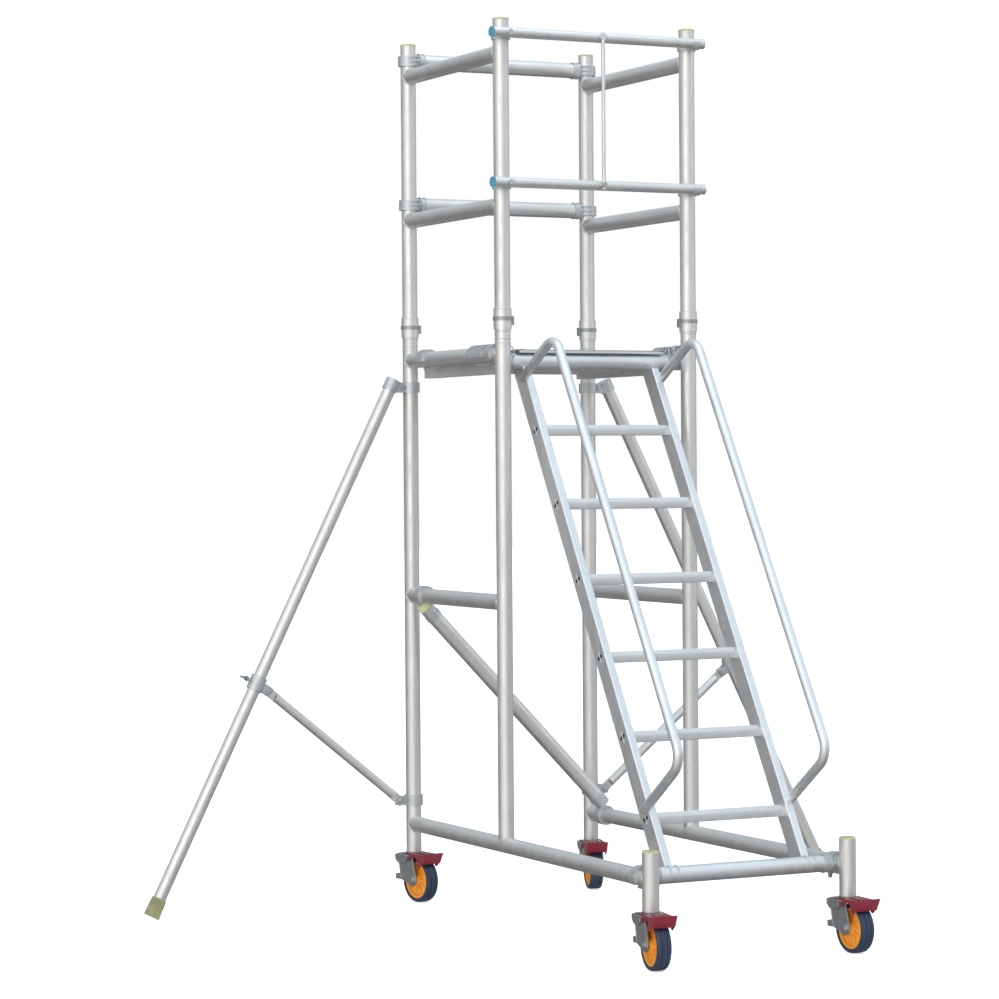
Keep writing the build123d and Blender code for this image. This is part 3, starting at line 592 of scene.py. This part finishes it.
def make_tyre(castor):
    """Rubber tyre with rounded shoulders and two fine grooves round its tread."""
    half = scaled([(61.1, 19), (63, 22), (67, 23), (71.5, 21.4), (74, 17), (74.8, 11),
                   (75, 9.6), (73.6, 9.1), (73.6, 8.1), (75, 7.6)])
    place = wheel_frame(castor)
    mesh = mesh_from("tyre", lambda work: add_lathe(work, mirrored(half), place, 72))
    piece = finish_piece(f"{castor}_rubber", mesh, "tyre", f"{castor}_wheel")
    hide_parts(f"{castor}_tyre")


def make_hub(castor):
    """Moulded wheel centre: rim, dished web, boss and a ring of ribs each side."""
    half = scaled([(6.1, 25), (14, 25), (16, 23), (17.5, 9), (22, 6), (50, 6), (54, 9), (55.5, 17),
                   (57, 19), (61, 19)])
    place = wheel_frame(castor)
    turn = place.to_3x3()

    def build(work):
        add_lathe(work, mirrored(half), place, 60)
        outline = scaled([(15, 18), (20, 13), (40, 9.5), (55.6, 12), (55.6, 4), (15, 4)])
        for k in range(HUB_RIBS):
            angle = 2 * pi * k / HUB_RIBS
            out = turn @ Vector((cos(angle), sin(angle), 0))
            for face in (-1, 1):
                along = turn @ Vector((0, 0, face))
                thick = out.cross(along) * HUB_RIB_HALF
                add_prism(work, outline, place.translation - thick, place.translation + thick, out, along)

    piece = finish_piece(f"{castor}_wheel_centre", mesh_from("hub", build), "hub", f"{castor}_wheel")
    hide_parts(f"{castor}_hub")


def add_plate(work, frame_matrix, outline, low, high):
    """Sheet cut to a (y, z) outline, between two x positions of the castor's frame."""
    turn = frame_matrix.to_3x3()
    rows = [frame_matrix @ Vector((x, 0, 0)) for x in (low, high)]
    add_prism(work, outline, rows[0], rows[1], turn @ Vector((0, 1, 0)), turn @ Vector((0, 0, 1)))


def make_pedal(castor):
    """Pressed brake pedal: straps beside the stem, a toe lip over the wheel and two pivot ears."""
    place = castor_frame(castor)
    lip = scaled([(-30, 162.4), (-90, 161), (-108, 162), (-113, 160), (-99, 136), (-96, 133.5),
                  (-98.5, 132.5), (-102.5, 135), (-117, 162), (-120.5, 169), (-117, 170.5),
                  (-107, 165.5), (-90, 164), (-30, 165)])
    ear = scaled([(-12, 164.8), (-62, 164.5), (-108, 163), (-112, 160), (-98, 135), (-88, 126), (-80, 121),
                  (-74, 122), (-70, 130), (-70, 138), (-68, 148), (-52, 155), (-30, 152),
                  (-24, 139), (-14, 139)])
    strap = scaled([(24, 162.4), (24, 165), (-34, 165), (-34, 162.4)])
    tread = scaled([(-40, 165), (-40, 167.4), (-86, 166.6), (-86, 164.2)])
    inner, outer = 34 * MM, 36.5 * MM

    def build(work):
        add_plate(work, place, lip, -outer, outer)
        add_plate(work, place, tread, -18 * MM, 18 * MM)
        for side in SIDES.values():
            near, far = sorted((side * inner, side * outer))
            add_plate(work, place, ear, near, far)
            near, far = sorted((side * 31 * MM, side * outer))
            add_plate(work, place, strap, near, far)
            pin = place @ Vector((side * (outer + 1.5 * MM), -20 * MM, 146 * MM))
            add_lathe(work, scaled([(0, -1.5), (6, -1.5), (6, 0.5), (4.5, 1.6), (0, 2)]),
                      lathe_place(pin, place.to_3x3() @ Vector((side, 0, 0))), 24)

    piece = finish_piece(f"{castor}_pedal_pressing", mesh_from("pedal", build), "pedal", f"{castor}_brake")
    soften(piece, 0.8 * MM)
    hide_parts(f"{castor}_pedal")


def add_hex(work, centre, direction, across_flats, thickness):
    """Hexagonal nut or bolt head with a domed face."""
    first, second = axes_from(direction)
    end = centre + direction.normalized() * thickness
    add_prism(work, hexagon(across_flats), centre, end, first, second)
    dome = [(across_flats * 0.47, -0.2 * MM), (across_flats * 0.42, 0.9 * MM), (0, 1.2 * MM)]
    add_lathe(work, [(0, -0.2 * MM)] + dome, lathe_place(end, direction), 24)


def make_fork_fittings(castor):
    """Swivel race with the cheeks' bosses and rolled edges, the fork's head, and the axle's nuts."""
    place = castor_frame(castor)
    axle = place.to_3x3() @ ACROSS
    hub = place @ Vector((0, -TRAIL, WHEEL_R))
    rolled_edge = ((42, 130), (32, 82), (24, 73), (-30, 57), (-44, 58), (-56, 72), (-55, 84), (-38, 140))

    def race(work):
        ring = scaled([(20, 153.8), (34, 151.8), (40, 152.6), (42, 155.5), (41, 158.4), (37, 159.6),
                       (30, 159.8), (20, 159.8)])
        add_lathe(work, ring, place, 56)
        for side in SIDES.values():
            boss = scaled([(0, -0.5), (17, -0.5), (17, 0.8), (14.5, 2), (0, 2)])
            add_lathe(work, boss, lathe_place(hub + axle * side * CHEEK_OUTSIDE, axle * side), 36)
            edge = [place @ Vector((side * CHEEK_OUTSIDE, y * MM, z * MM)) for y, z in rolled_edge]
            add_sweep(work, edge, 1.7 * MM, 8)

    def head(work):
        for side in SIDES.values():
            near, far = sorted((side * CHEEK_OUTSIDE, side * HEAD_OUTSIDE))
            pad = scaled([(-6, 158), (-8, 150), (-6, 140), (2, 131), (22, 127), (44, 128), (54, 136), (55, 158)])
            add_plate(work, place, pad, near, far)
        rear = scaled([(53, 158), (53, 136), (59, 138), (60.5, 152), (57, 158)])
        add_plate(work, place, rear, -HEAD_OUTSIDE, HEAD_OUTSIDE)

    def bolts(work):
        for side in SIDES.values():
            seat = hub + axle * side * (CHEEK_OUTSIDE + 2 * MM)
            add_lathe(work, scaled([(0, 0), (13.5, 0), (13.5, 1.6), (0, 1.6)]), lathe_place(seat, axle * side), 30)
            add_hex(work, seat + axle * side * 1.5 * MM, axle * side, 20.6 * MM, 4.6 * MM)

    finish_piece(f"{castor}_swivel_race", mesh_from("race", race), "zinc", f"{castor}_castor")
    skirt = finish_piece(f"{castor}_fork_head", mesh_from("head", head), "zinc", f"{castor}_castor")
    soften(skirt, 3 * MM)
    finish_piece(f"{castor}_axle_nuts", mesh_from("nuts", bolts), "bolt", f"{castor}_castor")


for castor in CASTORS:
    make_tyre(castor)
    make_hub(castor)
    make_pedal(castor)
    make_fork_fittings(castor)


# ---------------------------------------------------------------- platform

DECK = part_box("deck_board")
RIB_PITCH = 16 * MM
RIB_HEIGHT = 1.4 * MM
RIVETS_PER_EDGE = 7
RIVET_INSET = 12 * MM


def make_deck():
    """Ribbed board inside a folded edge strip held by rivets."""
    (left, front, low), (right, rear, top) = DECK
    trim = 22 * MM

    def board(work):
        outline = [(left + trim, low), (right - trim, low), (right - trim, top - RIB_HEIGHT)]
        ribs = int((right - left - 2 * trim) / RIB_PITCH)
        for k in reversed(range(ribs)):
            x = left + trim + (k + 0.5) * RIB_PITCH
            outline += [(x + 4 * MM, top - RIB_HEIGHT), (x + 2.6 * MM, top), (x - 2.6 * MM, top),
                        (x - 4 * MM, top - RIB_HEIGHT)]
        outline.append((left + trim, top - RIB_HEIGHT))
        start, end = Vector((0, front + trim, 0)), Vector((0, rear - trim, 0))
        add_prism(work, outline, start, end, ACROSS, UP)

    def strip(work):
        nose = scaled([(0, 2.0), (1.5, 0.3), (4, 0), (22.5, 0), (22.5, 1.8), (9, 2), (9, 4.2),
                       (2.2, 4.2), (0, 3.2)])
        for x, inward in ((left, 1), (right, -1)):
            outline = [(x + inward * u, top - v) for u, v in nose]
            add_prism(work, outline, Vector((0, front, 0)), Vector((0, rear, 0)), ACROSS, UP)
        for y, inward in ((front, 1), (rear, -1)):
            outline = [(y + inward * u, top - v) for u, v in nose]
            add_prism(work, outline, Vector((left, 0, 0)), Vector((right, 0, 0)), ALONG, UP)

    def lip(work):
        fascia = scaled([(0, 1834), (2.2, 1834), (2.2, 1843), (9, 1843), (9, 1845), (1.5, 1845), (0, 1844)])
        outline = [(front + y, z) for y, z in fascia]
        start, end = Vector((left + 4 * MM, 0, 0)), Vector((right - 4 * MM, 0, 0))
        add_prism(work, outline, start, end, ALONG, UP)

    def rivets(work):
        dome = scaled([(0, -1), (3.6, -1), (3.2, 0.1), (1.6, 0.2), (0, 0.2)])
        spots = []
        for k in range(RIVETS_PER_EDGE):
            x = left + (right - left) * (k + 0.5) / RIVETS_PER_EDGE
            spots += [(x, front + RIVET_INSET), (x, rear - RIVET_INSET)]
            y = front + (rear - front) * (k + 0.5) / RIVETS_PER_EDGE
            spots += [(left + RIVET_INSET, y), (right - RIVET_INSET, y)]
        for x, y in spots:
            add_lathe(work, dome, Matrix.Translation((x, y, top)), 16)

    piece = finish_piece("deck_ribbed_board", mesh_from("board", board), "deck_plate", "tower", False)
    finish_piece("deck_edge_strip", mesh_from("strip", strip), "ladder_cross", "tower", False)
    finish_piece("deck_front_lip", mesh_from("lip", lip), "ladder_cross", "tower", False)
    finish_piece("deck_rivets", mesh_from("rivets", rivets), "bolt", "tower")
    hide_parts("deck_board")


make_deck()


# ---------------------------------------------------------------- ladder

def middle(node):
    """Centre of a CAD node's box."""
    low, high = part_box(node)
    return (Vector(low) + Vector(high)) / 2


RUNG_COUNT = 6
RUNG_RISE = 233.8 * MM
LADDER_SLOPE = 917 / 1525            # run over rise
RUNG_HALF_DEPTH = 21 * MM
RUNG_HALF_HEIGHT = 17 * MM
RUNGS_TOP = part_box("ladder_rungs")[1]
FIRST_RUNG = Vector((0, RUNGS_TOP[1] - RUNG_HALF_DEPTH, RUNGS_TOP[2] - RUNG_HALF_HEIGHT))
STILE_X = middle("right_stile").x
STILE_HALF = 13.5 * MM
LADDER_FOOT_Y = middle("ladder_bottom_tube").y


def rung_centre(k):
    """Middle of the k-th rung from the top."""
    return FIRST_RUNG - Vector((0, k * RUNG_RISE * LADDER_SLOPE, k * RUNG_RISE))


def rung_outline():
    """Section of a rung in (y, z): flutes on a gently domed tread, rolled edges, flat underside."""
    tread = []
    for k in range(6):
        y = 15 - 6 * k
        z = 17 - 0.012 * y * y
        tread += [(y, z), (y - 2.2, z + 0.1), (y - 3.0, z - 1.4), (y - 5.2, z - 1.4)]
    front = [(-18.5, 11), (-20.4, 7), (-21, 2), (-21, -13), (-20, -16), (-17, -17)]
    back = [(17, -17), (20, -16), (21, -13), (21, 2), (20.4, 7), (18.5, 11)]
    return scaled([point for point in tread if point[0] > -18] + front + back)


def make_rungs():
    """Fluted rungs with a bead of weld round each end."""
    reach = STILE_X - STILE_HALF

    def bars(work):
        for k in range(RUNG_COUNT):
            centre = rung_centre(k)
            add_prism(work, rung_outline(), centre - ACROSS * reach, centre + ACROSS * reach, ALONG, UP)

    def beads(work):
        for k in range(RUNG_COUNT):
            for side in SIDES.values():
                centre = rung_centre(k) + ACROSS * side * reach
                loop = [centre + ALONG * y * MM + UP * z * MM for y, z in rounded(21.5, 17.5, 8)]
                add_sweep(work, loop, lambda i: (2.4 + 0.5 * sin(i * 2.1)) * MM, 8, True)
                outside = rung_centre(k) + ACROSS * side * (STILE_X + STILE_HALF - 0.6 * MM)
                up_slope = Vector((0, LADDER_SLOPE, 1)).normalized()
                slot = [outside + up_slope * t * MM for t in range(-19, 20, 2)]
                add_sweep(work, slot, lambda i: (2.2 + 0.5 * sin(i * 2.3)) * MM, 8)

    piece = finish_piece("ladder_fluted_rungs", mesh_from("rungs", bars), "ladder_cross", "tower")
    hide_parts("ladder_rungs")
    finish_piece("ladder_welds", mesh_from("beads", beads), "weld", "tower")


def rounded(half_width, half_height, radius, steps=6):
    """Points of a rectangle with round corners, about the origin, in millimetres."""
    points = []
    for quarter, (sx, sy) in enumerate(((1, 1), (-1, 1), (-1, -1), (1, -1))):
        for k in range(steps + 1):
            a = pi / 2 * (quarter + k / steps)
            x = sx * (half_width - radius) + radius * cos(a)
            y = sy * (half_height - radius) + radius * sin(a)
            points.append((x, y))
    return points


def make_foot_welds():
    """Beads where the stiles stand on the bottom cross tube."""
    centre = Vector((0, LADDER_FOOT_Y, BASE_RAIL_Z))

    def build(work):
        for side in SIDES.values():
            for edge in (-STILE_HALF, STILE_HALF):
                x = side * STILE_X + edge
                arc = [centre + ACROSS * x + (ALONG * cos(a) + UP * sin(a)) * (TUBE_R + 0.6 * MM)
                       for a in (radians(5 + 6 * k) for k in range(28))]
                add_sweep(work, arc, lambda i: (2.6 + 0.5 * sin(i * 2.2)) * MM, 8)

    finish_piece("ladder_foot_welds", mesh_from("foot", build), "weld", "tower")


make_rungs()
make_foot_welds()


# ---------------------------------------------------------------- claws

CLAW_R = 34 * MM
CLAW_HALF = 17 * MM


def claw_sites():
    """Centre, gripped axis, inward direction and mouth direction of every plain claw."""
    sites = []
    top_y = middle("ladder_top_tube").y
    for side in SIDES.values():
        x, inward = side * HALF_WIDTH, -side * ACROSS
        sites.append((Vector((x, top_y, PLATFORM_RAIL_Z)), ALONG, inward, Vector((side * 0.3, 0, -1))))
        sites.append((Vector((x, LADDER_FOOT_Y, BASE_RAIL_Z)), ALONG, inward, Vector((side * 0.3, 0, -1))))
        for rail in ("rear_top_rail", "rear_knee_rail"):
            sites.append((Vector((x, REAR_Y, middle(rail).z)), UP, inward, Vector((side * 0.2, 1, 0))))
    return sites


def arc_points(centre, first, second, radius, start, end, steps=22):
    """Points of an arc between two angles, in degrees, in the plane of two directions."""
    turn = [radians(start + (end - start) * k / steps) for k in range(steps + 1)]
    return [centre + radius * (cos(a) * first + sin(a) * second) for a in turn]


def make_claws():
    """Raised rims and a rib on each cast claw, and its spring trigger with a rivet."""

    def castings(work):
        for centre, axis, inward, mouth in claw_sites():
            back = -mouth.normalized()
            for edge in (-CLAW_HALF, CLAW_HALF):
                rim = arc_points(centre + axis * edge * 0.86, back, inward, CLAW_R, -85, 100)
                add_sweep(work, rim, 2.6 * MM, 8)
            rib = arc_points(centre, back, inward, CLAW_R, -70, 62) + [centre + inward * 46 * MM + back * 26.5 * MM]
            add_sweep(work, rib, 3.4 * MM, 8)
            collar = [centre + inward * reach * MM for reach in (36, 54)]
            for spot in collar:
                ring = arc_points(spot, axis, axis.cross(inward), 27.4 * MM, 0, 348, 28)
                add_sweep(work, ring, 1.9 * MM, 8, True)

    def triggers(work):
        for centre, axis, inward, mouth in claw_sites():
            down = mouth.normalized()
            pivot = centre + inward * 31 * MM + down * 20 * MM
            lever = scaled([(-7, -5), (3, -7), (10, 0), (8, 10), (13, 22), (10, 27), (4, 25), (-3, 12), (-9, 6)])
            add_prism(work, lever, pivot - axis * 5 * MM, pivot + axis * 5 * MM, inward, down)
            add_lathe(work, scaled([(0, -19), (4, -19), (4.6, -17.5), (4.6, 17.5), (4, 19), (0, 19)]),
                      lathe_place(pivot, axis), 20)

    finish_piece("claw_rims", mesh_from("rims", castings), "cast_alloy", "tower")
    levers = finish_piece("claw_triggers", mesh_from("triggers", triggers), "zinc", "tower")
    soften(levers, 1 * MM)


def make_brace_plug():
    """Plastic plug in the open upper end of the diagonal brace's claw."""
    low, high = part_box("diagonal_brace")
    start = Vector((-HALF_WIDTH, (low[1] + high[1]) / 2, MID_RAIL_Z - 34 * MM))
    finish = Vector((HALF_WIDTH, start.y, BASE_RAIL_Z + 34 * MM))
    along = (finish - start).normalized()
    profile = scaled([(0, -16), (20, -16), (23, -14), (24.2, -10), (24.2, 9), (0, 9)])
    mesh = mesh_from("plug", lambda work: add_lathe(work, profile, lathe_place(start + along * 2 * MM, along), 40))
    finish_piece("diagonal_brace_plug", mesh, "cap", "tower")


make_claws()
make_brace_plug()


# ---------------------------------------------------------------- outriggers and coupling crimps

# Distances out from the tower's middle, with heights
LEG_TOP = (408 * MM, 1.752)
LEG_FOOT = (1.268, 0.044)
STRUT_PIN = (HALF_WIDTH + 52 * MM, 0.342)
HEAD_BOLT = (HALF_WIDTH + 34 * MM, 1.738)
GRIP_Z = 0.758
WING = ((-5, 3), (-1, 11), (6, 18), (12, 21))
WING_RADII = (4.2, 3.6, 4.4, 3.0)


def make_outrigger_fittings():
    """Bolt heads on the clamps, the wing nut of the sliding clamp and the ribs of the rubber foot."""
    for name, side in SIDES.items():
        top = Vector((side * LEG_TOP[0], REAR_Y, LEG_TOP[1]))
        foot = Vector((side * LEG_FOOT[0], REAR_Y, LEG_FOOT[1]))
        along = (foot - top).normalized()
        grip = top + along * ((GRIP_Z - top.z) / along.z)
        post_pin = Vector((side * STRUT_PIN[0], REAR_Y, STRUT_PIN[1]))
        leg_pin = grip + Vector((side * -38 * MM, 0, -26 * MM))
        outward = Vector((along.z, 0, -along.x)) * -side
        head_seat = Vector((side * HEAD_BOLT[0], REAR_Y, HEAD_BOLT[1]))

        def bolts(work):
            for centre in (post_pin, leg_pin):
                for face in (-1, 1):
                    add_hex(work, centre + ALONG * face * 11 * MM, ALONG * face, 19 * MM, 9 * MM)
            for face in (-1, 1):
                add_hex(work, head_seat + ALONG * face * 12.5 * MM, ALONG * face, 15 * MM, 7 * MM)

        def wings(work):
            tip = grip + outward * 46 * MM
            add_lathe(work, scaled([(0, -10), (9, -10), (8, 0), (5, 3), (0, 3)]), lathe_place(tip, outward), 24)
            for turn in (-1, 1):
                wing = [tip + outward * d * MM + ALONG * turn * w * MM for d, w in WING]
                add_sweep(work, wing, lambda i: WING_RADII[i] * MM, 10)

        def ribs(work):
            for k in range(4):
                ring = foot - along * (20 - 7 * k) * MM
                first, second = axes_from(along)
                loop = arc_points(ring, first, second, (24.6 + 0.45 * k) * MM, 0, 350, 35)
                add_sweep(work, loop, 1.5 * MM, 8, True)

        finish_piece(f"{name}_clamp_bolts", mesh_from("bolts", bolts), "bolt", f"{name}_outrigger")
        finish_piece(f"{name}_wing_nut", mesh_from("wings", wings), "zinc", f"{name}_outrigger")
        finish_piece(f"{name}_foot_ribs", mesh_from("ribs", ribs), "foot", f"{name}_outrigger")


# Height in metres, then ring radius and thickness in millimetres
CRIMPS = ((1.8995, 25.9, 1.5), (1.877, 25.7, 1.4), (1.863, 25.7, 1.4), (1.9715, 28.0, 1.6))


def make_coupling_rings():
    """Rolled crimps under each coupling and the bead at the top of each enlarged sleeve."""

    def build(work):
        for side in SIDES.values():
            for y in (REAR_Y, FRONT_Y):
                for z, radius, thick in CRIMPS:
                    centre = Vector((side * HALF_WIDTH, y, z))
                    ring = arc_points(centre, ACROSS, ALONG, radius * MM, 0, 350, 35)
                    add_sweep(work, ring, thick * MM, 8, True)

    finish_piece("coupling_crimps", mesh_from("crimps", build), "ladder_cross", "tower")


make_outrigger_fittings()
make_coupling_rings()
